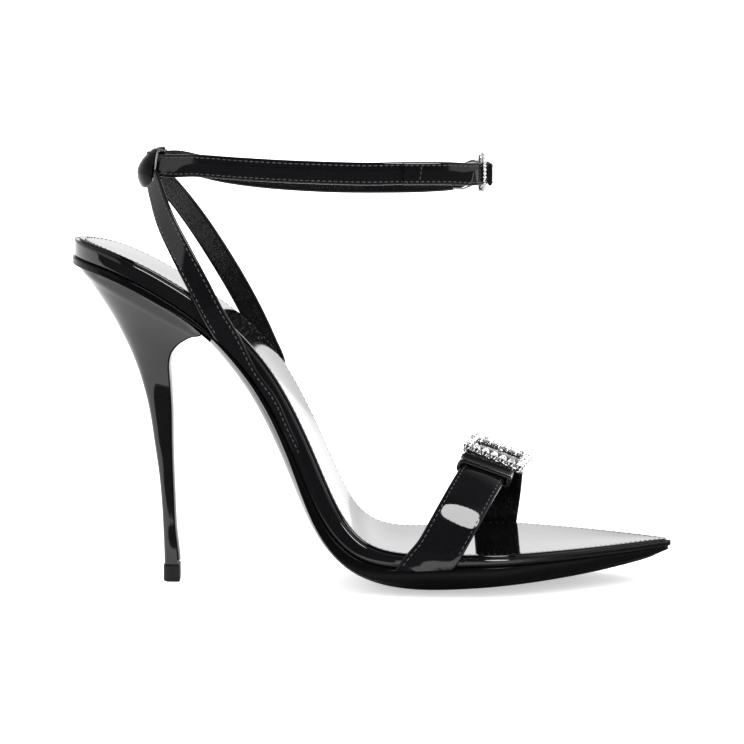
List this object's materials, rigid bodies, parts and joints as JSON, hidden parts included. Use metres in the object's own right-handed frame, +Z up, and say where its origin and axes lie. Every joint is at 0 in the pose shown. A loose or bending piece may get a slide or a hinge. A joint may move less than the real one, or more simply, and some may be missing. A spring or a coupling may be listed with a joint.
{
  "type": "strappy heeled sandal",
  "caption": "Pointed open sandal on a slender stiletto heel, with a buckled toe strap and an ankle strap threaded through a loop that joins the heel straps.",
  "frame": {"origin": "middle of the bounding box in plan, at floor level", "axes": "+Z up, +X towards the toe, +Y towards the medial side"},
  "size_m": [0.2048, 0.079, 0.1488],
  "materials": {
    "satin_sole": "satin black sole leather",
    "patent_insole": "high gloss black patent leather",
    "patent_sock": "high gloss black patent leather",
    "patent_heel": "high gloss black patent leather over a heel block",
    "breast_leather": "gloss black leather",
    "matte_lift": "matte black",
    "patent_strap": "high gloss black patent leather",
    "polished_metal": "polished silver colour"
  },
  "bodies": {
    "root": {"outsole": "satin_sole", "insole": "patent_insole", "sock_lining": "patent_sock", "heel": "patent_heel", "heel_breast_cover": "breast_leather", "top_lift": "matte_lift", "heel_straps": "patent_strap", "ankle_strap": "patent_strap", "ankle_buckle": "polished_metal", "ankle_buckle_pin": "polished_metal", "toe_strap": "patent_strap", "toe_buckle": "polished_metal", "toe_buckle_pin": "polished_metal", "toe_keeper": "patent_strap"}
  },
  "joints": []
}
